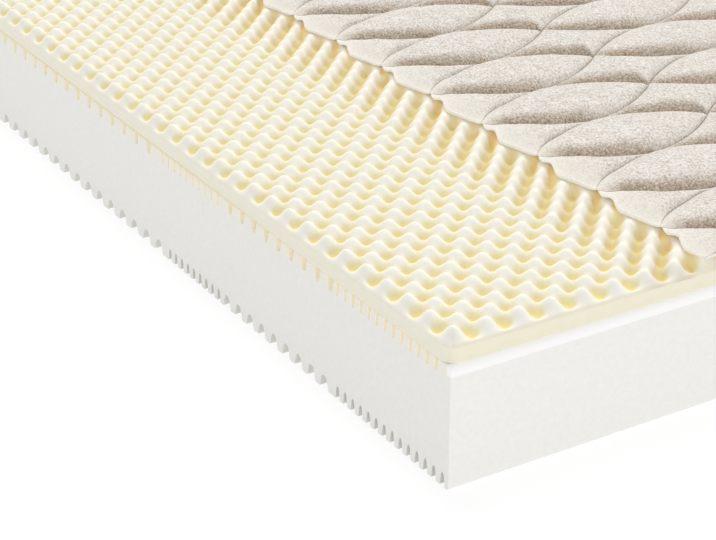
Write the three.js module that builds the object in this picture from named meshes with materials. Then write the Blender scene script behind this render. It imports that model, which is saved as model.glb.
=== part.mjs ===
// A foam mattress with its layers open to view: a white core grooved in seven comfort zones, a cream
// egg-crate topper on it, and a quilted cover panel that leaves a strip of the topper bare.
// Millimetres, +X across the width, +Y along the length, +Z up. The origin is the middle of the
// underside. Every shape is worked out from one corner of the mattress and moved to the middle at the end.

import * as THREE from "three";

// Overall sizes
const MATTRESS_WIDTH = 900;
const MATTRESS_LENGTH = 2000;
const CORE_HEIGHT = 150;
const LAYER_GAP = 0.3;

// Core: soft edges at both ends, and the depth of its grooves
const CORE_TOP_EDGE_RADIUS = 12;
const CORE_BOTTOM_EDGE_RADIUS = 5;
const EDGE_STEPS = 4;
const GROOVE_DEPTH = 17.5;
const SLOT_DEPTH = 16.5;
const ROOT_CROWN = 0.35;

// Comfort zones from one end to the middle, the other half is their mirror image: where the first
// groove's middle lies, how many grooves there are, the step between them, and how wide a groove is at
// its mouth and at its root.
const UNDERSIDE_ZONES = [
  { start: 11.8, count: 14, step: 16.53, mouth: 8.3, root: 5 },
  { start: 256.8, count: 9, step: 29.3, mouth: 17.4, root: 9.5 },
  { start: 512.9, count: 9, step: 16.53, mouth: 8.3, root: 5 },
  { start: 677.8, count: 10, step: 35.8, mouth: 21, root: 11.5 },
];
const TOP_ZONES = [
  { start: 28.3, count: 13, step: 16.53, mouth: 7.4, root: 3.6 },
  { start: 242.1, count: 9, step: 29.3, mouth: 13.6, root: 6 },
  { start: 508.3, count: 10, step: 16.53, mouth: 7.4, root: 3.6 },
  { start: 695.7, count: 9, step: 35.8, mouth: 14.6, root: 7 },
];

// Topper: an egg-crate whose peaks stand on every second crossing of a grid
const TOPPER_SETBACK = 3;
const TOPPER_FLOOR = CORE_HEIGHT + LAYER_GAP;
const CUP_LEVEL = 169;
const PEAK_LEVEL = 186;
const FIRST_PEAK_X = 13.7;
const FIRST_PEAK_Y = 19.5;
const HALF_STEPS_ACROSS = 42;
const HALF_STEPS_ALONG = 93;
const HALF_STEP_X = (MATTRESS_WIDTH - 2 * FIRST_PEAK_X) / HALF_STEPS_ACROSS;
const HALF_STEP_Y = (MATTRESS_LENGTH - 2 * FIRST_PEAK_Y) / HALF_STEPS_ALONG;
const RIM_LEVEL = 171.5;

// Beside and under the cover the foam's cups run together into slanting ribs
const RIBS_BEGIN_X = 240;
const RIBS_FULL_X = 285;
const RIB_SHARE = 0.55;

// Cover panel: a quilted sheet from its scalloped cut edge to the far long side. Pairs of stitch lines run
// across the mattress and enclose rows of leaves, which touch their neighbours at half their length.
const COVER_EDGE_X = 336.5;
const SCALLOP_DEPTH = 4.5;
const COVER_FLOOR = PEAK_LEVEL + LAYER_GAP;
const COVER_SEAM_THICKNESS = 4.5;
const COVER_PUFF_HEIGHT = 16;
const COVER_RIM_SHARE = 0.3;
const PUFF_ROWS = 34;
const LEAF_WIDTH = 118.4;
const FIRST_TIP_Y = 75.6;
const LEAF_START_X = 333;
const HALF_LEAF = 132;
const LEAF_POWER = 1.8;
const LEAST_SPREAD = 0.03;
const COLUMNS_PER_HALF_LEAF = 4;
const POINTS_PER_PUFF = 3;

// Less than the least distance between two rows, columns or grooves
const CLEARLY_APART = 1;

const lerp = THREE.MathUtils.lerp;

// Comfort zones of one half, followed by their mirror image along the whole mattress
function grooveRow(zones) {
  const nearHalf = zones.flatMap(({ start, count, step, mouth, root }) =>
    Array.from({ length: count }, (_, index) => ({ middle: start + index * step, mouth, root })),
  );
  const farHalf = nearHalf
    .map((groove) => ({ ...groove, middle: MATTRESS_LENGTH - groove.middle }))
    .filter((groove) => groove.middle > MATTRESS_LENGTH / 2 + CLEARLY_APART)
    .reverse();
  return [...nearHalf, ...farHalf];
}

// A groove's outline: sloping walls up to a root with a low crown; inward is +1 from below, -1 from above
function groovePoints({ middle, mouth, root }, level, depth, inward) {
  const shoulder = depth - ROOT_CROWN * root;
  return [
    [middle - mouth / 2, level],
    [middle - root / 2, level + inward * shoulder],
    [middle, level + inward * depth],
    [middle + root / 2, level + inward * shoulder],
    [middle + mouth / 2, level],
  ];
}

// Points on a quarter circle from one angle to the next, in quarter turns
function edgeArc(centreY, centreZ, radius, startQuarter) {
  return Array.from({ length: EDGE_STEPS + 1 }, (_, step) => {
    const angle = (startQuarter + step / EDGE_STEPS) * (Math.PI / 2);
    return [centreY + radius * Math.cos(angle), centreZ + radius * Math.sin(angle)];
  });
}

// The core's section along the mattress, swept straight across its width
function coreGeometry() {
  const low = CORE_BOTTOM_EDGE_RADIUS;
  const high = CORE_TOP_EDGE_RADIUS;
  const underside = grooveRow(UNDERSIDE_ZONES).flatMap((groove) => groovePoints(groove, 0, GROOVE_DEPTH, 1));
  const upper = grooveRow(TOP_ZONES)
    .flatMap((groove) => groovePoints(groove, CORE_HEIGHT, SLOT_DEPTH, -1))
    .reverse();
  const section = [
    ...edgeArc(low, low, low, 2),
    ...underside,
    ...edgeArc(MATTRESS_LENGTH - low, low, low, 3),
    ...edgeArc(MATTRESS_LENGTH - high, CORE_HEIGHT - high, high, 0),
    ...upper,
    ...edgeArc(high, CORE_HEIGHT - high, high, 1),
  ];
  const shape = new THREE.Shape(section.map(([y, z]) => new THREE.Vector2(y, z)));
  const geometry = new THREE.ExtrudeGeometry(shape, { depth: MATTRESS_WIDTH, bevelEnabled: false });
  const alongY = new THREE.Vector3(0, 1, 0);
  const upZ = new THREE.Vector3(0, 0, 1);
  const acrossX = new THREE.Vector3(1, 0, 0);
  return geometry.applyMatrix4(new THREE.Matrix4().makeBasis(alongY, upZ, acrossX));
}

// Height of the egg-crate: two crossing waves, one of which fades where the ribs begin
function crateHeight(x, y) {
  const across = (Math.PI * (x - FIRST_PEAK_X)) / HALF_STEP_X;
  const along = (Math.PI * (y - FIRST_PEAK_Y)) / HALF_STEP_Y;
  const ribs = RIB_SHARE * THREE.MathUtils.smoothstep(x, RIBS_BEGIN_X, RIBS_FULL_X);
  const wave = (1 - ribs) * Math.cos(across + along) + (1 + ribs) * Math.cos(across - along);
  return lerp(CUP_LEVEL, PEAK_LEVEL, (wave + 2) / 4);
}

// A closed layer: its upper face follows a grid of points, columns across and rows along, with one more
// point in the middle of each cell that has one; its walls drop to a flat underside.
function closedLayer(grid, undersideZ, cellMiddle) {
  const positions = [];
  const faces = [];
  const addPoint = ([x, y, z]) => positions.push(x, y, z) / 3 - 1;
  const upper = grid.map((column) => column.map(addPoint));
  const lastColumn = grid.length - 1;
  const lastRow = grid[0].length - 1;

  for (let i = 0; i < lastColumn; i += 1) {
    for (let j = 0; j < lastRow; j += 1) {
      const corners = [upper[i][j], upper[i + 1][j], upper[i + 1][j + 1], upper[i][j + 1]];
      const middle = cellMiddle(grid[i][j], grid[i + 1][j + 1]);
      if (middle) {
        const centre = addPoint(middle);
        corners.forEach((corner, k) => faces.push(corner, corners[(k + 1) % corners.length], centre));
      } else {
        faces.push(corners[0], corners[1], corners[2], corners[0], corners[2], corners[3]);
      }
    }
  }

  const steps = (count, place) => Array.from({ length: count }, (_, k) => place(k));
  const rim = [
    ...steps(lastColumn, (k) => [k, 0]),
    ...steps(lastRow, (k) => [lastColumn, k]),
    ...steps(lastColumn, (k) => [lastColumn - k, lastRow]),
    ...steps(lastRow, (k) => [0, lastRow - k]),
  ];
  const feet = rim.map(([i, j]) => addPoint([grid[i][j][0], grid[i][j][1], undersideZ]));
  const firstPoint = grid[0][0];
  const lastPoint = grid[lastColumn][lastRow];
  const fan = addPoint([(firstPoint[0] + lastPoint[0]) / 2, (firstPoint[1] + lastPoint[1]) / 2, undersideZ]);
  rim.forEach(([i, j], k) => {
    const next = (k + 1) % rim.length;
    const [nextI, nextJ] = rim[next];
    faces.push(feet[k], feet[next], upper[nextI][nextJ]);
    faces.push(feet[k], upper[nextI][nextJ], upper[i][j]);
    faces.push(fan, feet[next], feet[k]);
  });

  const geometry = new THREE.BufferGeometry();
  geometry.setAttribute("position", new THREE.Float32BufferAttribute(positions, 3));
  geometry.setIndex(faces);
  return geometry;
}

// The topper: full egg-crate over the bare strip and along the far side, plain where the cover hides it
function topperGeometry() {
  const bareColumns = Math.ceil((COVER_EDGE_X - FIRST_PEAK_X) / HALF_STEP_X);
  const plainFrom = FIRST_PEAK_X + bareColumns * HALF_STEP_X;
  const plainTo = MATTRESS_WIDTH - FIRST_PEAK_X - HALF_STEP_X;
  const bare = Array.from({ length: bareColumns + 1 }, (_, i) => FIRST_PEAK_X + i * HALF_STEP_X);
  const columns = [0, ...bare, plainTo, plainTo + HALF_STEP_X, MATTRESS_WIDTH];
  const inner = Array.from({ length: HALF_STEPS_ALONG + 1 }, (_, j) => FIRST_PEAK_Y + j * HALF_STEP_Y);
  const rows = [TOPPER_SETBACK, ...inner, MATTRESS_LENGTH - TOPPER_SETBACK];

  const isPlain = (x) => x > plainFrom - CLEARLY_APART && x < plainTo + CLEARLY_APART;
  const surface = (x, y) => {
    const onSide = x === 0 || x === MATTRESS_WIDTH;
    const onEnd = y === rows[0] || y === rows[rows.length - 1];
    if (onSide || onEnd) {
      return RIM_LEVEL;
    }
    return isPlain(x) ? PEAK_LEVEL : crateHeight(x, y);
  };
  const grid = columns.map((x) => rows.map((y) => [x, y, surface(x, y)]));
  const cellMiddle = ([x0, y0], [x1, y1]) => {
    const x = (x0 + x1) / 2;
    const y = (y0 + y1) / 2;
    return isPlain(x) ? null : [x, y, crateHeight(x, y)];
  };
  return closedLayer(grid, TOPPER_FLOOR, cellMiddle);
}

// How far a leaf's two stitch lines stand apart: least at its tips, most at half its length
function leafSpread(x) {
  const halfLeaves = (x - LEAF_START_X) / HALF_LEAF;
  const place = THREE.MathUtils.euclideanModulo(halfLeaves, 2) - 1;
  return lerp(LEAST_SPREAD, 1 - LEAST_SPREAD, 1 - Math.abs(place) ** LEAF_POWER);
}

// A stitch line's place along the mattress. The first and the last line are the panel's straight ends,
// and of the others, each pair encloses a row of leaves.
function stitchPlace(line, x) {
  if (line === 0) {
    return TOPPER_SETBACK;
  }
  if (line === PUFF_ROWS) {
    return MATTRESS_LENGTH - TOPPER_SETBACK;
  }
  const leafRow = Math.floor((line - 1) / 2);
  const side = line % 2 === 0 ? 1 : -1;
  return FIRST_TIP_Y + leafRow * LEAF_WIDTH + ((side * LEAF_WIDTH) / 2) * leafSpread(x);
}

// The cut edge draws in at each leaf tip
function cutEdgePlace(y) {
  return COVER_EDGE_X + SCALLOP_DEPTH * Math.cos((2 * Math.PI * (y - FIRST_TIP_Y)) / LEAF_WIDTH);
}

// How high a puff stands between two stitch lines: wide ones rise most, the rim of the panel least
function puffHeight(share, width, onRim) {
  const crown = Math.sqrt(4 * share * (1 - share));
  const fullness = Math.sqrt(width / LEAF_WIDTH);
  return COVER_PUFF_HEIGHT * crown * fullness * (onRim ? COVER_RIM_SHARE : 1);
}

// The quilted panel: rows of points follow the stitch lines, with the puffs raised between them
function coverGeometry() {
  const columnStep = HALF_LEAF / COLUMNS_PER_HALF_LEAF;
  const columnCount = Math.round((MATTRESS_WIDTH - LEAF_START_X) / columnStep);
  const lastRow = PUFF_ROWS * POINTS_PER_PUFF;
  const grid = Array.from({ length: columnCount + 1 }, (_, column) => {
    const onCutEdge = column === 0;
    const onFarSide = column === columnCount;
    const x = onFarSide ? MATTRESS_WIDTH : LEAF_START_X + column * columnStep;
    return Array.from({ length: lastRow + 1 }, (_, row) => {
      const line = Math.min(Math.floor(row / POINTS_PER_PUFF), PUFF_ROWS - 1);
      const share = row / POINTS_PER_PUFF - line;
      const from = stitchPlace(line, x);
      const to = stitchPlace(line + 1, x);
      const y = lerp(from, to, share);
      const raised = puffHeight(share, to - from, onCutEdge || onFarSide);
      return [onCutEdge ? cutEdgePlace(y) : x, y, COVER_FLOOR + COVER_SEAM_THICKNESS + raised];
    });
  });
  return closedLayer(grid, COVER_FLOOR, () => null);
}

function piece(name, geometry, color, roughness) {
  const mesh = new THREE.Mesh(geometry, new THREE.MeshStandardMaterial({ color, roughness, metalness: 0 }));
  mesh.name = name;
  mesh.position.set(-MATTRESS_WIDTH / 2, -MATTRESS_LENGTH / 2, 0);
  return mesh;
}

const mattress = new THREE.Group();
mattress.add(piece("foam_core", coreGeometry(), 0xecebe8, 0.95));
mattress.add(piece("foam_topper", topperGeometry(), 0xf5ecd0, 0.9));
mattress.add(piece("cover_panel", coverGeometry(), 0xcfc5b6, 0.95));

export default mattress;
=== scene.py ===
"""The looks of a foam mattress whose layers lie open to view.

Three pieces stand for the three solids of the frame: a white core grooved in seven comfort zones, a cream
egg-crate topper, and a quilted knit cover panel that leaves a strip of the topper bare. Sizes are in
millimetres, measured from the mattress's near left corner, and turn into metres in the frame as a mesh
is made.
"""

import math

import bpy
import numpy as np
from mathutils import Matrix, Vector


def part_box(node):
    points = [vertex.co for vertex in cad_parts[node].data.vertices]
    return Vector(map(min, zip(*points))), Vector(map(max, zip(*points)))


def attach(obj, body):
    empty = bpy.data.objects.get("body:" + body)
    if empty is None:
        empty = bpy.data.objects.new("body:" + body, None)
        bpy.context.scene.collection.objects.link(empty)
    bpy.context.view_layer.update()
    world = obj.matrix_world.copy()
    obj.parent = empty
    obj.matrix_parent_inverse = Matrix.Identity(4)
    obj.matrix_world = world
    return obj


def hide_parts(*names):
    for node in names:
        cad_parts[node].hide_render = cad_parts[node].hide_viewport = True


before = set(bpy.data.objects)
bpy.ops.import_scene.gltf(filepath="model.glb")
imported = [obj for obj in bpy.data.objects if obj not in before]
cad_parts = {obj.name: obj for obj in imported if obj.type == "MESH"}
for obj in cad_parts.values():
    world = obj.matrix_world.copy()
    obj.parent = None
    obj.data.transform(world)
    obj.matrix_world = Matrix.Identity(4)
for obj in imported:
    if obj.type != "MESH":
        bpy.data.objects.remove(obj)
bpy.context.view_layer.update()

MM = 0.001
SHARP_FROM_DEGREES = 38
WAVES_IN_NOISE = 7


# Sizes taken from the frame

def box_mm(node):
    """Lowest and highest corner of a solid, in millimetres from the mattress's near left corner."""
    low, high = (np.array(corner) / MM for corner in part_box(node))
    return low - CORNER, high - CORNER


CORNER = np.array([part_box("foam_core")[0][0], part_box("foam_core")[0][1], 0.0]) / MM
WIDTH, LENGTH, CORE_HEIGHT = box_mm("foam_core")[1]
SETBACK = box_mm("foam_topper")[0][1]
TOPPER_FLOOR = box_mm("foam_topper")[0][2]
PEAK_LEVEL = box_mm("foam_topper")[1][2]
COVER_FLOOR = box_mm("cover_panel")[0][2]

# Core
TOP_EDGE_HEIGHT = 12
TOP_EDGE_DEPTH = 6
BOTTOM_EDGE_RADIUS = 5
GROOVE_DEPTH = 17.5
SLOT_DEPTH = 16.5
GROOVE_POWER = 3.4
GROOVE_POINTS = 15
LIP = 2
LIP_BEND = 0.35
LIP_DROP = 0.3
SIDE_CHAMFER = 0.6
EDGE_POINTS = 7
END_FACE_POINTS = 8
SLICES_ACROSS = 9
# How far down its long sides the core carries painted light: a cream band standing in for the topper's warm
# light
PAINTED_WARM_LIGHT_BAND = 27
# Comfort zones of one half: first groove's middle, how many, step, width at the mouth
UNDERSIDE_ZONES = [
    (11.8, 14, 16.53, 8.6),
    (256.8, 9, 29.3, 17.6),
    (512.9, 9, 16.53, 8.6),
    (677.8, 10, 35.8, 21.4),
]
TOP_ZONES = [
    (28.3, 13, 16.53, 7.4),
    (242.1, 9, 29.3, 13.6),
    (508.3, 10, 16.53, 7.4),
    (695.7, 9, 35.8, 14.6),
]

# Topper
CUP_LEVEL = 168.6
PEAKS_BELOW_TOP = 0.4
FILL_BELOW_TOP = 1.5
FILL_FROM_EDGE = (-9, 4)
FIRST_PEAK_X = 13.7
FIRST_PEAK_Y = 19.5
HALF_STEPS_ACROSS = 42
HALF_STEPS_ALONG = 93
PERIOD_X = 2 * (WIDTH - 2 * FIRST_PEAK_X) / HALF_STEPS_ACROSS
PERIOD_Y = 2 * (LENGTH - 2 * FIRST_PEAK_Y) / HALF_STEPS_ALONG
RIM_LEVEL = 171.5
RIM_ROUNDING = 3.5
RIM_DROP = 3
CORNER_RADIUS = 14
UNEVENNESS = 0.35
UNEVENNESS_SIZE = 70
UNEVENNESS_SEED = 5
# Outside the outermost rows, how far out the peaks, the cups and the cups' painted shade begin and end to
# fade
PEAKS_FADE = (0, 1)
CUPS_FADE = (0.4, 0.9)
CUP_SHADE_FADE = (0.35, 0.85)
# Points of the mesh: in a period where the foam shows, under the cover and at the far side, and at the rim
SHOWN_POINTS = 12
HIDDEN_POINTS = 4
FAR_SIDE_POINTS = 8
ROWS_ALONG = 513
SIDE_RIM_POINTS = 9
END_RIM_POINTS = 10
FINE_PAST_EDGE = 14
COARSE_TO_FAR_SIDE = 40
# How deep in colour the walls are, where 0 is a peak and 1 the bottom of a cup
SIDE_WALL_DEPTH = 0.15
END_WALL_DEPTH = 0.28
DEPTH_BEGINS = 0.36
WALL_FOOT_DEEPER = 0.05
TAN_LINE_DEPTH = 0.95
END_FOOT_DEPTH = 0.12
TAN_LINE_FROM_END = (200, 700)
RIBS_BEGIN_X = 240
RIBS_FULL_X = 285
RIB_SHARE = 0.56
RIBS_DEEPER = 0.05
# Levels of the wall's rings above the topper's floor, and how far its lowest edge is drawn in
WALL_FOOT = 10
TAN_LINE_LEVEL = 2
FLOOR_EDGE = 0.4
FLOOR_INSET = 0.5
WALL_BELOW_RIM = 1
WALL_COLOUR_ENDS = (1, 4)
# Distances past the cover's cut edge between which a painted glow comes in beside it and a painted shadow
# under it, and between which both end beneath it
BESIDE_COVER = (-12, -2)
UNDER_COVER = (-12, -5)
SHADES_END = (6, 20)

# Cover panel
COVER_EDGE_X = 336.5
SCALLOP_DEPTH = 12
SCALLOP_MIDDLE = 0.55
EDGE_LIFT = 4
EDGE_DRIFT = 10
SEAM_THICKNESS = 4.5
PUFF_HEIGHT = 16
NEAR_FULLNESS = 3.2
FAR_FULLNESS = 2.0
LEAF_WIDTH = 118.4
FIRST_TIP_Y = 75.6
LEAF_START_X = 333
HALF_LEAF = 132
LEAF_POWER = 1.8
LEAF_FULL = 0.985
LEAF_TIP = 0.0075
PUFF_ROWS = 34
POINTS_ACROSS_PUFF = 25
CROWN_POWER = 0.55
PUFF_UNEVENNESS = 0.5
PUFF_UNEVENNESS_SIZE = 45
PUFF_UNEVENNESS_SEED = 9
# From one leaf tip to the next along the cut edge: place, how far drawn in, how far off the foam
EDGE_FOLDS = [
    (0.0, 1.0, 1.0),
    (0.06, 0.92, 0.3),
    (0.13, 0.82, 0.0),
    (0.32, 0.42, 0.0),
    (0.47, 0.08, 0.0),
    (0.53, 0.04, 0.0),
    (0.60, 0.22, 0.2),
    (0.74, 0.9, 0.9),
    (0.80, 0.9, 0.8),
    (0.88, 0.72, 0.2),
    (0.94, 0.8, 0.4),
    (1.0, 1.0, 1.0),
]
EDGE_DRIFT_ENDS = 70
EDGE_TAPER = 42
EDGE_PUFF_LEFT = 0.12
EDGE_ROUNDING = 2.5
EDGE_FOLD_ENDS = 30
EDGE_THINNER = 0.45
EDGE_THIN_ENDS = 20
CUT_FACE_SHARE = 0.4
FAR_SIDE_TAPER = 30
FAR_SIDE_PUFF_LEFT = 0.35
# The rim's rings from above to below: share of the height, and on the long edges how far in from the rim
RIM_RINGS = [(0.75, -0.7), (0.4, -0.9), (0.1, -0.3), (0.0, 0.8)]
LONG_EDGE_FROM_MIDDLE = 250
# How far the flat underside lies in from the cut edge, from the far side and from the ends
UNDERSIDE_INSETS = (32, 10, 6)
# Bands of fine columns at the cut edge and the far side, and the step of the columns between them
CUT_EDGE_BAND = 14
FAR_SIDE_BAND = 16
COLUMN_STEP = 6
# Painted shade and light on the knit: a dark painted shade on each puff's near foot and a painted highlight,
# the lit lip, on its far side, by its slant
FOOT_WIDTH = 33
FOOT_POWER = 0.4
LIT_LIP_WIDTH = 5
SLANT_SHARE = 1.2
FAR_FROM_SEAM = 30.0
FAR_FROM_CUT = 40.0


# Mesh tools

def make_piece(name, points, faces, material, node):
    """A piece from points in millimetres and lists of corner indices, standing for one solid of the frame."""
    mesh = bpy.data.meshes.new(name)
    mesh.from_pydata(((points + CORNER) * MM).tolist(), [], faces)
    mesh.update()
    mesh.shade_smooth()
    mesh.set_sharp_from_angle(angle=math.radians(SHARP_FROM_DEGREES))
    piece = bpy.data.objects.new(name, mesh)
    bpy.context.scene.collection.objects.link(piece)
    mesh.materials.append(material)
    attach(piece, "root")
    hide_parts(node)
    return piece


def add_attribute(piece, name, values):
    attribute = piece.data.attributes.new(name, "FLOAT", "POINT")
    attribute.data.foreach_set("value", np.asarray(values, np.float32))


def grid_faces(index):
    """Four-cornered faces of a grid of point indices. They face up: the first index runs along +X, the
    second along +Y."""
    corners = np.stack([index[:-1, :-1], index[1:, :-1], index[1:, 1:], index[:-1, 1:]], axis=-1)
    return corners.reshape(-1, 4).tolist()


def rim_of(index):
    """The indices round a grid's edge, anticlockwise seen from above."""
    return np.concatenate([index[:-1, 0], index[-1, :-1], index[:0:-1, -1], index[0, :0:-1]])


def ring_faces(upper, lower):
    """Faces between two rings of point indices, facing outwards when both run anticlockwise."""
    next_upper, next_lower = np.roll(upper, -1), np.roll(lower, -1)
    return np.stack([lower, next_lower, next_upper, upper], axis=-1).tolist()


def closed_sheet(top, rings):
    """Points and faces of a closed body: a grid of points for its upper face, then rings of points from the
    rim downwards, the last of them closed by one flat face."""
    columns, rows = top.shape[:2]
    index = np.arange(columns * rows).reshape(columns, rows)
    points = [top.reshape(-1, 3)]
    faces = grid_faces(index)
    upper = rim_of(index)
    first = columns * rows
    for ring in rings:
        lower = np.arange(first, first + len(ring))
        points.append(ring)
        faces += ring_faces(upper, lower)
        upper = lower
        first += len(ring)
    faces.append(upper[::-1].tolist())
    return np.concatenate(points), faces


def rim_points(top):
    return np.concatenate([top[:-1, 0], top[-1, :-1], top[:0:-1, -1], top[0, :0:-1]])


def smooth_step(value, low, high):
    t = np.clip((value - low) / (high - low), 0, 1)
    return t * t * (3 - 2 * t)


def soft_noise(x, y, scale, seed):
    """Smooth unevenness between about -1 and 1, from a few crossing waves whose directions the seed sets."""
    draw = np.random.default_rng(seed)
    total = np.zeros(np.broadcast(x, y).shape)
    for _ in range(WAVES_IN_NOISE):
        angle, phase, stretch = draw.uniform(0, math.pi), draw.uniform(0, 2 * math.pi), draw.uniform(0.7, 1.5)
        along = x * math.cos(angle) + y * math.sin(angle)
        total = total + np.sin(2 * math.pi * along / (scale * stretch) + phase)
    return total / math.sqrt(WAVES_IN_NOISE)


# Foam core

def groove_row(zones):
    """Each groove's middle and mouth width, for one half and its mirror image."""
    near = [(start + k * step, mouth) for start, count, step, mouth in zones for k in range(count)]
    far = [(LENGTH - middle, mouth) for middle, mouth in reversed(near) if middle < LENGTH / 2 - 1]
    return near + far


def groove_outline(middle, mouth, level, depth, inward):
    """A groove's outline from its near lip to its far lip: steep walls, a rounded root and small lips."""
    turn = np.linspace(-math.pi / 2, math.pi / 2, GROOVE_POINTS)[1:-1]
    across = np.sin(turn)
    y = middle + across * mouth / 2
    z = depth * (1 - np.abs(across) ** GROOVE_POWER)
    lip_y = LIP * np.array([1, LIP_BEND])
    lip_z = LIP * np.array([0, LIP_DROP])
    near = np.stack([middle - mouth / 2 - lip_y, lip_z], axis=-1)
    far = np.stack([middle + mouth / 2 + lip_y, lip_z], axis=-1)[::-1]
    outline = np.concatenate([near, np.stack([y, z], axis=-1), far])
    outline[:, 1] = level + inward * outline[:, 1]
    return outline


def arc(centre_y, centre_z, depth, height, start_quarter):
    """A quarter of an ellipse round a long edge, anticlockwise."""
    angle = (start_quarter + np.linspace(0, 1, EDGE_POINTS)) * math.pi / 2
    return np.stack([centre_y + depth * np.cos(angle), centre_z + height * np.sin(angle)], axis=-1)


def core_section():
    """The core's outline along the mattress, anticlockwise with Y to the right and Z up, and for each of its
    points whether it lies in a groove of the underside (-1), in a slot under the topper (1) or in neither."""
    low, high, deep = BOTTOM_EDGE_RADIUS, TOP_EDGE_HEIGHT, TOP_EDGE_DEPTH
    underside = [groove_outline(*groove, 0, GROOVE_DEPTH, 1) for groove in groove_row(UNDERSIDE_ZONES)]
    upper = [groove_outline(*slot, CORE_HEIGHT, SLOT_DEPTH, -1)[::-1] for slot in groove_row(TOP_ZONES)]
    heights = np.linspace(low, CORE_HEIGHT - high, END_FACE_POINTS)[1:-1]
    far_face = np.stack([np.full_like(heights, LENGTH), heights], axis=-1)
    near_face = np.stack([np.zeros_like(heights), heights[::-1]], axis=-1)
    parts = [
        (0, arc(low, low, low, low, 2)),
        *((-1, groove) for groove in underside),
        (0, arc(LENGTH - low, low, low, low, 3)),
        (0, far_face),
        (0, arc(LENGTH - deep, CORE_HEIGHT - high, deep, high, 0)),
        *((1, slot) for slot in reversed(upper)),
        (0, arc(deep, CORE_HEIGHT - high, deep, high, 1)),
        (0, near_face),
    ]
    section = np.concatenate([points for _, points in parts])
    groove = np.concatenate([np.full(len(points), float(sign)) for sign, points in parts])
    return section, groove


def inward_normals(section):
    """Unit vectors that point into the section at each of its points."""
    along = np.roll(section, -1, axis=0) - np.roll(section, 1, axis=0)
    along /= np.linalg.norm(along, axis=1, keepdims=True)
    return np.stack([-along[:, 1], along[:, 0]], axis=-1)


def core_mesh():
    section, groove = core_section()
    inward = inward_normals(section)
    rings = [(0.0, SIDE_CHAMFER), (SIDE_CHAMFER, 0.0)]
    middle = [(x, 0.0) for x in np.linspace(0, WIDTH, SLICES_ACROSS)[1:-1]]
    rings = rings + middle + [(WIDTH - x, inset) for x, inset in reversed(rings)]
    count = len(section)
    points, grooves = [], []
    for x, inset in rings:
        moved = section + inward * inset
        points.append(np.column_stack([np.full(count, x), moved]))
        grooves.append(groove * (inset == 0))
    index = np.arange(len(rings) * count).reshape(len(rings), count)
    faces = []
    for near, far in zip(index[:-1], index[1:]):
        faces += np.stack([near, np.roll(near, -1), np.roll(far, -1), far], axis=-1).tolist()
    faces.append(index[0][::-1].tolist())
    faces.append(index[-1].tolist())
    return np.concatenate(points), faces, np.concatenate(grooves)


# Egg-crate topper

def crate_wave(x, y):
    """Two crossing waves, one of which fades where the ribs begin: 1 on a peak, -1 at the bottom of a cup."""
    across = 2 * math.pi * (x - FIRST_PEAK_X) / PERIOD_X
    along = 2 * math.pi * (y - FIRST_PEAK_Y) / PERIOD_Y
    ribs = RIB_SHARE * smooth_step(x, RIBS_BEGIN_X, RIBS_FULL_X)
    return ((1 - ribs) * np.cos(across + along) + (1 + ribs) * np.cos(across - along)) / 2


def from_rim(x, y):
    """Distance inwards from the nearest face of the topper's four."""
    return np.minimum(np.minimum(x, WIDTH - x), np.minimum(y, LENGTH - y) - SETBACK)


def edge_wave(x, y):
    """The crate's wave, which keeps on outside its outermost rows as it is in them."""
    row_x = np.clip(x, FIRST_PEAK_X, WIDTH - FIRST_PEAK_X)
    row_y = np.clip(y, FIRST_PEAK_Y, LENGTH - FIRST_PEAK_Y)
    return crate_wave(row_x, row_y)


def share_kept(x, y, start, end):
    """How much of the crate is left outside its outermost rows: 1 up to start, 0 from end outwards."""
    outwards_x = 1 - np.minimum(x, WIDTH - x) / FIRST_PEAK_X
    outwards_y = (FIRST_PEAK_Y - np.minimum(y, LENGTH - y)) / (FIRST_PEAK_Y - SETBACK)
    return (1 - smooth_step(outwards_x, start, end)) * (1 - smooth_step(outwards_y, start, end))


def past_cover_edge(x, y):
    """Distance from the cover's cut edge, positive where the cover lies over the topper."""
    drawn_in, _ = edge_folds(y)
    return x - COVER_EDGE_X - SCALLOP_DEPTH * (drawn_in - SCALLOP_MIDDLE)


def crate_height(x, y):
    """The egg-crate: its outermost peaks slope down to a low rounded rim, its outermost cups reach it, and it
    fills up to a level top under the cover."""
    height = CUP_LEVEL + (PEAK_LEVEL - PEAKS_BELOW_TOP - CUP_LEVEL) * (edge_wave(x, y) + 1) / 2
    filled = smooth_step(past_cover_edge(x, y), *FILL_FROM_EDGE)
    height += (PEAK_LEVEL - FILL_BELOW_TOP - height) * filled
    above = np.clip(height - RIM_LEVEL, 0, None) * share_kept(x, y, *PEAKS_FADE)
    below = np.clip(height - RIM_LEVEL, None, 0) * share_kept(x, y, *CUPS_FADE)
    return RIM_LEVEL + above + below - RIM_DROP * np.clip(1 - from_rim(x, y) / RIM_ROUNDING, 0, 1) ** 2


def crate_depth(x, y):
    """How deep a place lies in its cup, from 0 on the slopes up to 1 at the bottom."""
    deep = np.clip((DEPTH_BEGINS - edge_wave(x, y)) / (DEPTH_BEGINS + 1), 0, 1)
    among_ribs = smooth_step(x, RIBS_BEGIN_X, RIBS_FULL_X)
    return (deep + RIBS_DEEPER * among_ribs) * share_kept(x, y, *CUP_SHADE_FADE)


def edge_steps(width, steps):
    """Places from an edge inwards, close together at the edge."""
    turn = np.linspace(0, math.pi / 2, steps + 1)[:-1]
    return width * (1 - np.cos(turn))


def rounded_corners(x, y):
    """Draws the plan's four square corners in to quarter circles."""
    side, end = np.minimum(x, WIDTH - x), np.minimum(y, LENGTH - y) - SETBACK
    u, v = np.clip(CORNER_RADIUS - side, 0, None), np.clip(CORNER_RADIUS - end, 0, None)
    share = 1 - np.maximum(u, v) / np.maximum(np.hypot(u, v), 1e-6)
    return np.stack([
        x + u * share * np.sign(WIDTH / 2 - x),
        y + v * share * np.sign(LENGTH / 2 - y),
    ], axis=-1)


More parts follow.
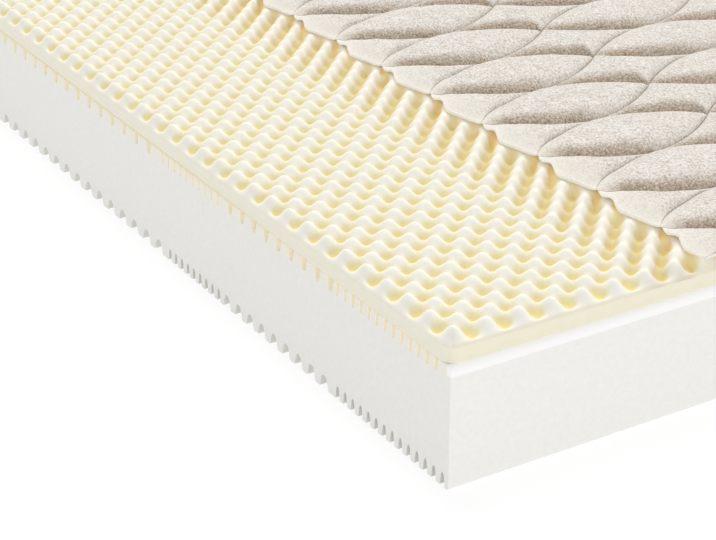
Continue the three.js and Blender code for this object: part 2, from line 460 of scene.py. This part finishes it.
def topper_grid():
    """The places of the upper face's points, dense where the foam shows and at the rim."""
    near_side = edge_steps(FIRST_PEAK_X, SIDE_RIM_POINTS)
    shown = np.arange(FIRST_PEAK_X, COVER_EDGE_X + FINE_PAST_EDGE, PERIOD_X / SHOWN_POINTS)
    coarse, medium = PERIOD_X / HIDDEN_POINTS, PERIOD_X / FAR_SIDE_POINTS
    hidden = np.arange(shown[-1] + coarse, WIDTH - COARSE_TO_FAR_SIDE, coarse)
    far = np.arange(hidden[-1] + medium, WIDTH - FIRST_PEAK_X, medium)
    columns = np.concatenate([near_side, shown, hidden, far, WIDTH - near_side[::-1]])
    near_end = SETBACK + edge_steps(FIRST_PEAK_Y - SETBACK, END_RIM_POINTS)
    inner = np.linspace(FIRST_PEAK_Y, LENGTH - FIRST_PEAK_Y, ROWS_ALONG)
    rows = np.concatenate([near_end, inner, LENGTH - near_end[::-1]])
    return np.meshgrid(columns, rows, indexing="ij")


def topper_walls(rim):
    """Rings of points from the rim down to the topper's floor, and how deep in colour each is. A darker tan
    line comes in at the foot of the long sides, away from the ends."""
    on_side = np.abs(rim[:, 0] - WIDTH / 2) > WIDTH / 2 - 2
    wall = np.where(on_side, SIDE_WALL_DEPTH, END_WALL_DEPTH)
    from_end = np.minimum(rim[:, 1], LENGTH - rim[:, 1])
    tan_line = np.where(on_side, TAN_LINE_DEPTH * smooth_step(from_end, *TAN_LINE_FROM_END), END_FOOT_DEPTH)
    rings, shades = [], []
    for level, shade in (
        (RIM_LEVEL - RIM_DROP - WALL_BELOW_RIM, wall),
        (TOPPER_FLOOR + WALL_FOOT, wall),
        (TOPPER_FLOOR + TAN_LINE_LEVEL, wall + WALL_FOOT_DEEPER),
        (TOPPER_FLOOR + FLOOR_EDGE, tan_line),
        (TOPPER_FLOOR, tan_line),
    ):
        ring = rim.copy()
        ring[:, 2] = level
        rings.append(ring)
        shades.append(shade)
    centre = np.array([WIDTH / 2, LENGTH / 2])
    rings[-1][:, :2] += FLOOR_INSET * np.sign(centre - rim[:, :2])
    return rings, shades


def topper_shades(x, y, wall_shades):
    """What the foam's painted shade and painted glow go by at each point: how deep it lies, and how near the
    cover's edge.
    """
    at_side = np.minimum(x, WIDTH - x) < np.minimum(y, LENGTH - y)
    nearest_wall = np.where(at_side, SIDE_WALL_DEPTH, END_WALL_DEPTH)
    inside = smooth_step(from_rim(x, y), *WALL_COLOUR_ENDS)
    depth = crate_depth(x, y) * inside + nearest_wall * (1 - inside)
    past_edge = past_cover_edge(x, y)
    wave = crate_wave(x, y)
    shown = 1 - smooth_step(past_edge, *SHADES_END)
    hollow = np.clip(0.5 - wave, 0, 1) * shown
    # Painted light mask: a glow that lifts the cover's cast shadow on the foam beside its edge
    beside = smooth_step(past_edge, *BESIDE_COVER) * (0.5 * shown + 0.5 * hollow)
    # Painted shadow mask: the hollows just under the cover's edge where it stands off the foam
    under = smooth_step(past_edge, *UNDER_COVER) * hollow * edge_folds(y)[1]
    # Painted shade mask: the valleys among the ribs
    valley = smooth_step(x, RIBS_BEGIN_X, RIBS_FULL_X) * np.clip(0.7 - 0.8 * wave, 0, 1) * shown
    on_walls = np.zeros(sum(len(shade) for shade in wall_shades))
    shades = {"depth": np.concatenate([depth.ravel(), *wall_shades])}
    for name, values in (("beside_cover_glow", beside), ("under_cover_shadow_and_glow", under), ("rib_valley_shade", valley)):
        shades[name] = np.concatenate([values.ravel(), on_walls])
    return shades


def topper_mesh():
    x, y = topper_grid()
    z = crate_height(x, y) + UNEVENNESS * soft_noise(x, y, UNEVENNESS_SIZE, UNEVENNESS_SEED)
    top = np.stack([x, y, np.minimum(z, PEAK_LEVEL)], axis=-1)
    top[..., :2] = rounded_corners(x, y)
    rings, wall_shades = topper_walls(rim_points(top))
    points, faces = closed_sheet(top, rings)
    return points, faces, topper_shades(x, y, wall_shades)


# Quilted cover panel

def leaf_spread(x):
    """How far a leaf's two stitch lines stand apart, from 0 at its tips to 1 at its middle."""
    place = np.mod(x - LEAF_START_X, 2 * HALF_LEAF) / HALF_LEAF - 1
    return LEAF_FULL * (1 - np.abs(place) ** LEAF_POWER) + LEAF_TIP


def edge_drift(x):
    """The pattern slips a little along the mattress beside the cut edge."""
    return EDGE_DRIFT * (1 - smooth_step(x, COVER_EDGE_X, COVER_EDGE_X + EDGE_DRIFT_ENDS))


def stitch_line(number, x):
    """A stitch line's place along the mattress. The first and last lines are the panel's straight ends."""
    if number == 0:
        return np.full_like(x, SETBACK)
    if number == PUFF_ROWS:
        return np.full_like(x, LENGTH - SETBACK)
    leaf, is_far_side = divmod(number - 1, 2)
    side = 1 if is_far_side else -1
    straight = FIRST_TIP_Y + leaf * LEAF_WIDTH + edge_drift(x)
    return straight + side * LEAF_WIDTH / 2 * leaf_spread(x)


def edge_folds(y):
    """How far the cut edge is drawn in, and how far it stands off the foam, each between 0 and 1."""
    phase = np.mod((y - FIRST_TIP_Y - EDGE_DRIFT) / LEAF_WIDTH, 1)
    places, drawn_in, standing_off = zip(*EDGE_FOLDS)
    return np.interp(phase, places, drawn_in), np.interp(phase, places, standing_off)


def puff_rows(columns):
    """Grids of points over the panel: place along the mattress, rise of the puff, distance from the seam, and
    the shares of the painted shade on the near foot and of the painted highlight on the lit lip."""
    turn = np.linspace(0, math.pi, POINTS_ACROSS_PUFF + 1)[:-1]
    share = (1 - np.cos(turn)) / 2
    across = 2 * share - 1
    crown = (1 - np.abs(across) ** np.where(across < 0, NEAR_FULLNESS, FAR_FULLNESS)) ** CROWN_POWER
    slant = np.gradient(leaf_spread(columns), columns)[:, None] * LEAF_WIDTH / 2
    strips = {"y": [], "rise": [], "seam": [], "foot": [], "lip": []}
    for number in range(PUFF_ROWS):
        near = stitch_line(number, columns)[:, None]
        width = stitch_line(number + 1, columns)[:, None] - near
        fullness = np.sqrt(np.clip(width / LEAF_WIDTH, 0, 1))
        is_leaf = number % 2 == 1
        lean = (slant if is_leaf else -slant) * SLANT_SHARE
        foot = np.clip(1 - share * width / FOOT_WIDTH, 0, 1)
        lip = np.clip(1 - (1 - share) * width / LIT_LIP_WIDTH, 0, 1)
        strips["y"].append(near + width * share)
        strips["rise"].append(fullness * crown)
        strips["seam"].append(np.minimum(share, 1 - share) * width)
        strips["foot"].append(np.clip(0.5 + lean, 0, 1) * fullness ** FOOT_POWER * foot)
        strips["lip"].append(np.clip(0.5 - lean, 0, 1) * lip)
    last = stitch_line(PUFF_ROWS, columns)[:, None]
    for name, parts in strips.items():
        parts.append(last if name == "y" else np.zeros_like(last))
    return {name: np.concatenate(parts, axis=1) for name, parts in strips.items()}


def cover_walls(top, lift):
    """Rings of points round the panel's rounded rim, and the edge of its flat underside."""
    rim = rim_points(top)
    rim_lift = rim_points(lift[..., None])[:, 0]
    height = rim[:, 2] - COVER_FLOOR - rim_lift
    from_middle = (COVER_EDGE_X + WIDTH) / 2 - rim[:, 0]
    on_long_edge = np.abs(from_middle) > LONG_EDGE_FROM_MIDDLE
    rings = []
    for share, inset in RIM_RINGS:
        ring = rim.copy()
        ring[:, 2] = COVER_FLOOR + rim_lift + height * share
        ring[:, 0] += inset * np.sign(from_middle) * on_long_edge
        rings.append(ring)
    from_cut_edge, from_far_side, from_end = UNDERSIDE_INSETS
    underside = rim.copy()
    underside[:, 2] = COVER_FLOOR
    across = (rim[:, 0] - COVER_EDGE_X) / (WIDTH - COVER_EDGE_X)
    along = (rim[:, 1] - SETBACK) / (LENGTH - 2 * SETBACK)
    underside[:, 0] += from_cut_edge * (1 - across) - from_far_side * across
    underside[:, 1] += from_end * (1 - 2 * along)
    return rings, underside


def cover_mesh():
    columns = np.concatenate([
        COVER_EDGE_X + edge_steps(CUT_EDGE_BAND, 6),
        np.arange(COVER_EDGE_X + CUT_EDGE_BAND + 0.5, WIDTH - FAR_SIDE_BAND, COLUMN_STEP),
        WIDTH - edge_steps(CUT_EDGE_BAND, 5)[::-1],
    ])
    grids = puff_rows(columns)
    y, rise = grids.pop("y"), grids.pop("rise")
    x = np.repeat(columns[:, None], y.shape[1], axis=1)
    from_cut = x - COVER_EDGE_X
    taper = EDGE_PUFF_LEFT + (1 - EDGE_PUFF_LEFT) * smooth_step(from_cut, 0, EDGE_TAPER)
    far_taper = FAR_SIDE_PUFF_LEFT + (1 - FAR_SIDE_PUFF_LEFT) * smooth_step(WIDTH - x, 0, FAR_SIDE_TAPER)
    height = SEAM_THICKNESS + PUFF_HEIGHT * rise * taper * far_taper
    height += PUFF_UNEVENNESS * soft_noise(x, y, PUFF_UNEVENNESS_SIZE, PUFF_UNEVENNESS_SEED) * rise
    height *= 1 - EDGE_THINNER * (1 - smooth_step(from_cut, 0, EDGE_THIN_ENDS))
    rounding = np.sqrt(1 - np.clip(1 - from_cut / EDGE_ROUNDING, 0, 1) ** 2)
    height *= CUT_FACE_SHARE + (1 - CUT_FACE_SHARE) * rounding
    drawn_in, standing_off = edge_folds(y)
    near_cut = 1 - smooth_step(from_cut, 0, EDGE_FOLD_ENDS)
    lift = EDGE_LIFT * standing_off * near_cut
    moved_x = x + SCALLOP_DEPTH * (drawn_in - SCALLOP_MIDDLE) * near_cut
    top = np.stack([moved_x, y, COVER_FLOOR + lift + height], axis=-1)
    rings, underside = cover_walls(top, lift)
    points, faces = closed_sheet(top, [*rings, underside])
    rim_size = len(underside)
    on_rim, beneath = np.zeros(rim_size * len(rings)), np.full(rim_size, FAR_FROM_CUT)
    on_walls = np.zeros(rim_size * (len(rings) + 1))
    shades = {
        "seam": np.concatenate([grids["seam"].ravel(), on_walls + FAR_FROM_SEAM]),
        "from_cut": np.concatenate([from_cut.ravel(), on_rim, beneath]),
        "foot": np.concatenate([grids["foot"].ravel(), on_walls]),
        "lip": np.concatenate([grids["lip"].ravel(), on_walls]),
    }
    return points, faces, shades


# Materials

class Nodes:
    """Short calls for building a material's node tree."""

    def __init__(self, name, roughness):
        self.material = bpy.data.materials.new(name)
        self.material.use_nodes = True
        self.tree = self.material.node_tree
        self.shader = self.tree.nodes["Principled BSDF"]
        self.shader.inputs["Roughness"].default_value = roughness
        self.shader.inputs["Specular IOR Level"].default_value = 0.2
        self.place = self.add("ShaderNodeTexCoord").outputs["Object"]

    def add(self, kind, **settings):
        node = self.tree.nodes.new(kind)
        for key, value in settings.items():
            setattr(node, key, value)
        return node

    def link(self, output, socket):
        self.tree.links.new(output, socket)

    def noise(self, scale, detail=2.0, roughness=0.5, stretch=None):
        node = self.add("ShaderNodeTexNoise")
        node.inputs["Scale"].default_value = scale
        node.inputs["Detail"].default_value = detail
        node.inputs["Roughness"].default_value = roughness
        self.link(self.stretched(stretch) if stretch else self.place, node.inputs["Vector"])
        return node.outputs["Fac"]

    def cells(self, scale):
        node = self.add("ShaderNodeTexVoronoi", feature="SMOOTH_F1")
        node.inputs["Scale"].default_value = scale
        self.link(self.place, node.inputs["Vector"])
        return node.outputs["Distance"]

    def stretched(self, stretch):
        node = self.add("ShaderNodeMapping")
        node.inputs["Scale"].default_value = stretch
        self.link(self.place, node.inputs["Vector"])
        return node.outputs["Vector"]

    def ramp(self, value, stops):
        node = self.add("ShaderNodeValToRGB")
        elements = node.color_ramp.elements
        while len(elements) < len(stops):
            elements.new(0.5)
        for element, (position, colour) in zip(elements, stops):
            element.position = position
            element.color = (*colour, 1)
        self.link(value, node.inputs["Fac"])
        return node.outputs["Color"]

    def map_range(self, value, low, high, to_low=0.0, to_high=1.0):
        node = self.add("ShaderNodeMapRange", interpolation_type="SMOOTHSTEP")
        for key, number in (("From Min", low), ("From Max", high), ("To Min", to_low), ("To Max", to_high)):
            node.inputs[key].default_value = number
        self.link(value, node.inputs["Value"])
        return node.outputs["Result"]

    def math(self, operation, a, b):
        node = self.add("ShaderNodeMath", operation=operation)
        for socket, value in zip(node.inputs, (a, b)):
            if isinstance(value, (int, float)):
                socket.default_value = value
            else:
                self.link(value, socket)
        return node.outputs["Value"]

    def mix(self, factor, a, b, blend="MIX"):
        node = self.add("ShaderNodeMix", data_type="RGBA", blend_type=blend)
        for socket, value in ((node.inputs[0], factor), (node.inputs[6], a), (node.inputs[7], b)):
            if isinstance(value, (int, float)):
                socket.default_value = value
            elif isinstance(value, tuple):
                socket.default_value = (*value, 1)
            else:
                self.link(value, socket)
        return node.outputs[2]

    def separate(self, vector):
        node = self.add("ShaderNodeSeparateXYZ")
        self.link(vector, node.inputs[0])
        return node.outputs

    def attribute(self, name):
        return self.add("ShaderNodeAttribute", attribute_name=name).outputs["Fac"]

    def light_through(self, *masks):
        """Painted glow that stands in for light coming through foam or padding: mask, colour and strength of
        each place.
        """
        total = (0.0, 0.0, 0.0)
        for mask, tint, strength in zip(masks[0::3], masks[1::3], masks[2::3]):
            lit = self.mix(self.math("MULTIPLY", mask, strength), (0.0, 0.0, 0.0), tint)
            total = self.mix(1.0, total, lit, "ADD")
        self.link(total, self.shader.inputs["Emission Color"])
        self.shader.inputs["Emission Strength"].default_value = 1.0

    def finish(self, colour, heights):
        """Sets the colour, and stacks bumps: each height with its strength and its depth in metres."""
        self.link(colour, self.shader.inputs["Base Color"])
        normal = None
        for height, strength, depth in heights:
            bump = self.add("ShaderNodeBump")
            bump.inputs["Strength"].default_value = strength
            bump.inputs["Distance"].default_value = depth
            self.link(height, bump.inputs["Height"])
            if normal:
                self.link(normal, bump.inputs["Normal"])
            normal = bump.outputs["Normal"]
        self.link(normal, self.shader.inputs["Normal"])
        return self.material


CORE_MOTTLE = [(0.3, (0.905, 0.896, 0.860)), (0.7, (0.941, 0.933, 0.898))]
CORE_PAINTED_WARM_LIGHT = (0.955, 0.915, 0.80)
SLOT_PAINTED_WARM_LIGHT = (0.91, 0.862, 0.70)
GROOVE_PAINTED_SHADE = (0.70, 0.70, 0.655)
EDGE_PAINTED_HIGHLIGHT = (0.99, 0.985, 0.97)
SLOT_PAINTED_GLOW = (1.0, 0.91, 0.76)
EDGE_PAINTED_GLOW = (1.0, 1.0, 0.98)
FOAM_CELLS_DEPTH = 0.0006


def core_material():
    """White foam with open cells. Painted light: cream in the slots under the topper and in a band beside
    them down the long sides, and a painted highlight with a faint glow on the ends' rounded top edges.
    Painted shade: grey on the walls of the underside grooves.
    """
    n = Nodes("white_foam", 0.95)
    place = n.separate(n.place)
    from_middle_x, from_middle_y = (n.math("ABSOLUTE", place[axis], 0.0) for axis in "XY")
    mottle = n.ramp(n.noise(140, 3, 0.6), CORE_MOTTLE)
    slot = n.map_range(n.attribute("groove"), 0.0, 1.0)
    underside = n.map_range(n.attribute("groove"), 0.0, -1.0)
    long_side = n.map_range(from_middle_x, (WIDTH / 2 - 2) * MM, (WIDTH / 2 - 1) * MM)
    painted_warm_light = n.map_range(place["Z"], (CORE_HEIGHT - PAINTED_WARM_LIGHT_BAND) * MM, CORE_HEIGHT * MM, 0.0, 0.85)
    end_edge = n.map_range(from_middle_y, (LENGTH / 2 - 8) * MM, (LENGTH / 2 - 6) * MM)
    top_edge = n.map_range(place["Z"], (CORE_HEIGHT - 14) * MM, (CORE_HEIGHT - 11) * MM)
    # Painted highlight: the rounded top edge at each end is painted whiter
    rounded = n.math("MULTIPLY", end_edge, top_edge)
    # Painted light: the top of each long side is painted cream, standing in for warm light from the topper
    colour = n.mix(n.math("MULTIPLY", long_side, painted_warm_light), mottle, CORE_PAINTED_WARM_LIGHT)
    # Painted light: the slots under the topper are painted cream and made to glow, standing in for warm light
    # reaching into them
    colour = n.mix(n.math("MULTIPLY", slot, 0.8), colour, SLOT_PAINTED_WARM_LIGHT)
    # Painted shade: the walls of the underside grooves are painted grey
    colour = n.mix(n.math("MULTIPLY", underside, 0.85), colour, GROOVE_PAINTED_SHADE)
    colour = n.mix(rounded, colour, EDGE_PAINTED_HIGHLIGHT)
    # Painted light: a glow in the slots and a faint one on the ends' rounded top edges
    n.light_through(slot, SLOT_PAINTED_GLOW, 0.15, rounded, EDGE_PAINTED_GLOW, 0.05)
    return n.finish(colour, [(n.cells(900), 0.25, FOAM_CELLS_DEPTH), (n.noise(60, 3), 0.12, 0.002)])


TOPPER_SHADE_BY_DEPTH = [
    (0.0, (0.94, 0.918, 0.842)),
    (0.12, (0.95, 0.912, 0.79)),
    (0.3, (0.91, 0.862, 0.69)),
    (0.5, (0.87, 0.80, 0.54)),
    (0.72, (0.85, 0.755, 0.42)),
    (1.0, (0.83, 0.70, 0.31)),
]
RIB_VALLEY_PAINTED_SHADE = (0.84, 0.79, 0.76)
TOPPER_PAINTED_SHADOW = (0.70, 0.47, 0.13)
BESIDE_COVER_PAINTED_GLOW = (1.0, 0.88, 0.62)
UNDER_COVER_PAINTED_GLOW = (1.0, 0.6, 0.15)


def topper_material():
    """Cream foam, pale on its peaks; the deep yellow in its cups is painted shade, as are the darker rib
    valleys and the orange pockets under the cover's edge, and the foam beside that edge has a painted glow.
    """
    n = Nodes("cream_foam", 0.9)
    uneven = n.math("MULTIPLY", n.math("SUBTRACT", n.noise(90, 2), 0.5), 0.15)
    under = n.map_range(n.attribute("under_cover_shadow_and_glow"), 0.05, 0.6)
    valley = n.math("MULTIPLY", n.attribute("rib_valley_shade"), 0.75)
    # Painted shade: the deeper a place lies in its cup, the deeper yellow it is painted
    colour = n.ramp(n.math("ADD", n.attribute("depth"), uneven), TOPPER_SHADE_BY_DEPTH)
    # Painted shade: the valleys among the ribs are painted darker
    colour = n.mix(valley, colour, RIB_VALLEY_PAINTED_SHADE, "MULTIPLY")
    # Painted shadow: dark orange pockets under the cover's lifted edge, with a faint warm painted glow in
    # them
    colour = n.mix(n.math("MULTIPLY", under, 0.9), colour, TOPPER_PAINTED_SHADOW)
    # Painted light: the foam beside the cover's edge glows to lift the cover's cast shadow
    n.light_through(n.attribute("beside_cover_glow"), BESIDE_COVER_PAINTED_GLOW, 0.17, under, UNDER_COVER_PAINTED_GLOW, 0.02)
    return n.finish(colour, [(n.cells(800), 0.25, FOAM_CELLS_DEPTH), (n.noise(250, 2), 0.15, 0.001)])


KNIT_FLECKS = [
    (0.32, (0.40, 0.345, 0.28)),
    (0.44, (0.655, 0.605, 0.535)),
    (0.54, (0.83, 0.795, 0.74)),
    (0.69, (0.96, 0.945, 0.91)),
]
FOOT_SHADE_FLECKS = [
    (0.36, (0.23, 0.165, 0.11)),
    (0.50, (0.455, 0.36, 0.265)),
    (0.66, (0.75, 0.66, 0.56)),
]
KNIT_CLOUDS = [(0.3, (0.9, 0.88, 0.86)), (0.7, (1.0, 1.0, 1.0))]
PADDING_COLOUR = (0.88, 0.835, 0.745)
LIT_LIP_HIGHLIGHT = (0.99, 0.98, 0.95)
STITCH_COLOUR = (0.30, 0.27, 0.23)
CUT_EDGE_PAINTED_GLOW = (1.0, 0.96, 0.88)


def cover_material():
    """Heathered beige knit that fades to the pale padding at the cut edge, with a fine line at each seam, a
    painted shade on each puff's near side, a painted highlight on its far side and a painted glow at the cut
    edge.
    """
    n = Nodes("quilted_knit", 0.95)
    foot, from_cut = n.attribute("foot"), n.attribute("from_cut")
    flecks = n.noise(400, 3, 0.8, stretch=(1.0, 0.6, 1.0))
    # Painted shade: the near foot of each puff is painted in dark flecks
    shade_flecks = n.ramp(flecks, FOOT_SHADE_FLECKS)
    knit = n.mix(n.map_range(foot, 0.05, 0.75, 0.0, 0.9), n.ramp(flecks, KNIT_FLECKS), shade_flecks)
    knit = n.mix(1.0, knit, n.ramp(n.noise(45, 3, 0.6), KNIT_CLOUDS), "MULTIPLY")
    edge = n.math("ADD", from_cut, n.math("MULTIPLY", n.noise(120, 2), 10.0))
    # Painted shade mask, kept off the pale band at the cut edge
    foot_shade_mask = n.math("MULTIPLY", n.map_range(foot, 0.1, 0.8), n.map_range(edge, 12, 34))
    pale = n.math("MULTIPLY", n.map_range(edge, 8, 56, 0.72, 0.0), n.math("SUBTRACT", 1.0, foot_shade_mask))
    colour = n.mix(pale, knit, PADDING_COLOUR)
    # Painted highlight: a bright lip along the far side of each puff
    colour = n.mix(n.math("MULTIPLY", n.attribute("lip"), 0.9), colour, LIT_LIP_HIGHLIGHT)
    colour = n.mix(n.map_range(n.attribute("seam"), 0.0, 1.2, 0.55, 0.0), colour, STITCH_COLOUR)
    # Painted light: the cut edge glows faintly, lifting the shade on its rounded side
    n.light_through(n.map_range(from_cut, 0.5, 4.0, 1.0, 0.0), CUT_EDGE_PAINTED_GLOW, 0.12)
    n.shader.inputs["Sheen Weight"].default_value = 0.25
    n.shader.inputs["Sheen Roughness"].default_value = 0.5
    return n.finish(colour, [(flecks, 0.35, 0.0012), (n.noise(900, 2), 0.2, 0.0005)])


# Build the pieces

core_points, core_faces, in_groove = core_mesh()
core = make_piece("core_block", core_points, core_faces, core_material(), "foam_core")
add_attribute(core, "groove", in_groove)

topper_points, topper_faces, topper_values = topper_mesh()
topper = make_piece(
    "egg_crate", topper_points, topper_faces, topper_material(), "foam_topper"
)
for shade_name, shade_values in topper_values.items():
    add_attribute(topper, shade_name, shade_values)

cover_points, cover_faces, cover_values = cover_mesh()
cover = make_piece(
    "quilted_panel", cover_points, cover_faces, cover_material(), "cover_panel"
)
for shade_name, shade_values in cover_values.items():
    add_attribute(cover, shade_name, shade_values)


# Floor, light and camera

# In metres: how far the floor reaches from the middle, and over what distance it grows greyer
FLOOR_REACH = 30
GREYER_OVER = 2.0
FLOOR_GLOW_IN_FRONT = 0.8
FLOOR_GLOW_BEHIND = 0.5


def floor_material():
    """White in front of the mattress and a little greyer behind it, so that its white far faces stand out."""
    n = Nodes("pale_floor", 0.9)
    place = n.separate(n.place)
    backwards = n.math("ADD", n.math("MULTIPLY", place["X"], 0.8), n.math("MULTIPLY", place["Y"], 0.6))
    glow = n.map_range(backwards, 0.0, GREYER_OVER, FLOOR_GLOW_IN_FRONT, FLOOR_GLOW_BEHIND)
    n.link(glow, n.shader.inputs["Emission Strength"])
    n.shader.inputs["Emission Color"].default_value = (1, 1, 1, 1)
    n.shader.inputs["Base Color"].default_value = (0.25, 0.25, 0.25, 1)
    n.shader.inputs["Specular IOR Level"].default_value = 0.1
    return n.material


def make_floor():
    mesh = bpy.data.meshes.new("floor")
    corners = [(x * FLOOR_REACH, y * FLOOR_REACH, 0) for x, y in ((-1, -1), (1, -1), (1, 1), (-1, 1))]
    mesh.from_pydata(corners, [], [(0, 1, 2, 3)])
    floor = bpy.data.objects.new("floor", mesh)
    bpy.context.scene.collection.objects.link(floor)
    mesh.materials.append(floor_material())


def make_world(strength):
    world = bpy.data.worlds.new("studio")
    world.use_nodes = True
    background = world.node_tree.nodes["Background"]
    background.inputs["Color"].default_value = (1.0, 1.0, 1.0, 1)
    background.inputs["Strength"].default_value = strength
    bpy.context.scene.world = world


def sun_light(name, from_direction, width_degrees, strength):
    light = bpy.data.lights.new(name, "SUN")
    light.angle = math.radians(width_degrees)
    light.energy = strength
    lamp = bpy.data.objects.new(name, light)
    lamp.rotation_euler = Vector(from_direction).to_track_quat("Z", "Y").to_euler()
    bpy.context.scene.collection.objects.link(lamp)


def make_camera():
    """The photo's viewpoint, found from the mattress's edges and grooves."""
    picture_width = 716
    focal_length_px = 2102
    sensor = 36
    turn_right, look_down = 31.5, 26.49
    data = bpy.data.cameras.new("camera")
    data.sensor_width = sensor
    data.lens = focal_length_px / picture_width * sensor
    camera = bpy.data.objects.new("camera", data)
    camera.location = (-1.51465, -2.55537, 1.19986)
    camera.rotation_euler = (math.radians(90 - look_down), 0, math.radians(-turn_right))
    bpy.context.scene.collection.objects.link(camera)
    bpy.context.scene.camera = camera


make_floor()
make_world(strength=0.62)
sun_light("key", from_direction=(0.35, 0.58, 0.95), width_degrees=40, strength=1.8)
sun_light("fill", from_direction=(0.15, -1.0, 0.15), width_degrees=60, strength=0.5)
make_camera()
bpy.context.scene.view_settings.view_transform = "Standard"
